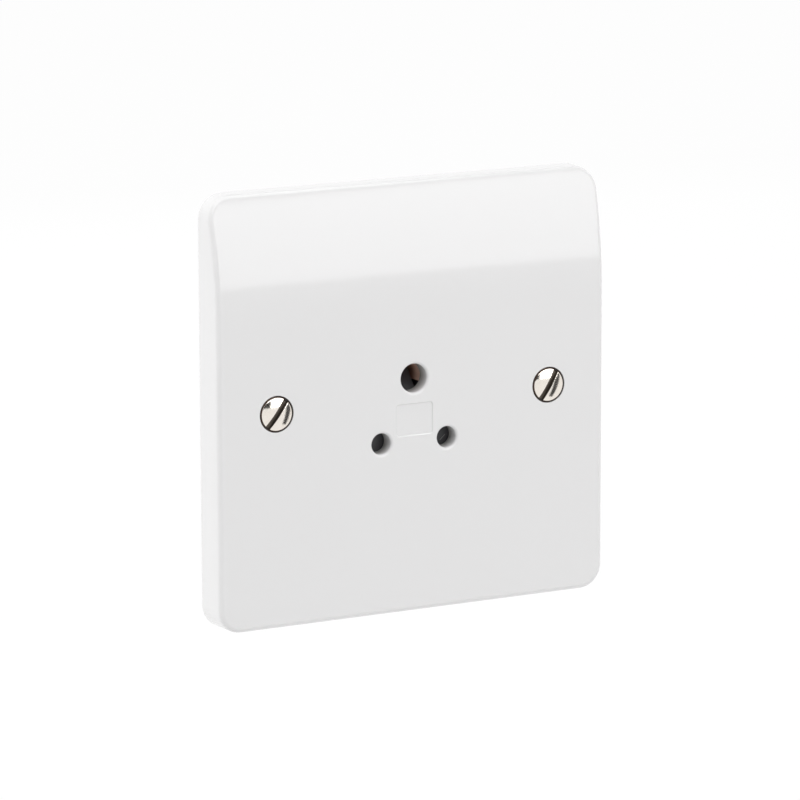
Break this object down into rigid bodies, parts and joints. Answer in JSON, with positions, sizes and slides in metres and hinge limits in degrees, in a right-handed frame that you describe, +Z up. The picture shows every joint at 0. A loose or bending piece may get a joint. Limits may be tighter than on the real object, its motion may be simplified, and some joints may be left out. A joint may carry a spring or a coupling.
{
  "type": "round pin socket outlet",
  "caption": "Flush wall socket for small round-pin plugs: square white plate curving back at the top, shuttered pin holes, brass contacts and rear terminals.",
  "frame": {"origin": "middle of the plate in the plane of the wall, between the two fixing screws", "axes": "+X to the right seen from the room, +Y into the wall, +Z up"},
  "size_m": [0.086, 0.0259, 0.086],
  "materials": {
    "white_moulding": "glossy thermoset moulding, white",
    "black_moulding": "satin black moulding",
    "shutter_moulding": "satin charcoal moulding",
    "brass": "plain turned and milled brass",
    "phosphor_bronze": "rolled phosphor bronze strip",
    "nickel_plate": "bright nickel plate on steel",
    "zinc_plate": "bright zinc plate on steel",
    "spring_steel": "drawn spring wire"
  },
  "bodies": {
    "socket": {"faceplate": "white_moulding", "rear_housing": "black_moulding", "shutter_spring": "spring_steel", "line_contact": "phosphor_bronze", "line_grip_spring": "spring_steel", "line_terminal": "brass", "line_terminal_screw": "brass", "neutral_contact": "phosphor_bronze", "neutral_grip_spring": "spring_steel", "neutral_terminal": "brass", "neutral_terminal_screw": "brass", "earth_contact": "phosphor_bronze", "earth_grip_spring": "spring_steel", "earth_terminal": "brass", "earth_terminal_screw": "brass", "fixing_screw_left": "nickel_plate", "fixing_screw_right": "nickel_plate", "housing_screw_top_left": "zinc_plate", "housing_screw_top_right": "zinc_plate", "housing_screw_bottom_left": "zinc_plate", "housing_screw_bottom_right": "zinc_plate"},
    "shutter": {"shutter": "shutter_moulding"}
  },
  "joints": [
    {"name": "shutter_slide", "type": "slide", "parent": "socket", "child": "shutter", "axis": [0, 0, -1], "range_m": [0, 0.0045], "stiffness_N_per_m": 60, "springref_m": -0.004, "deforming": ["shutter_spring"]}
  ]
}
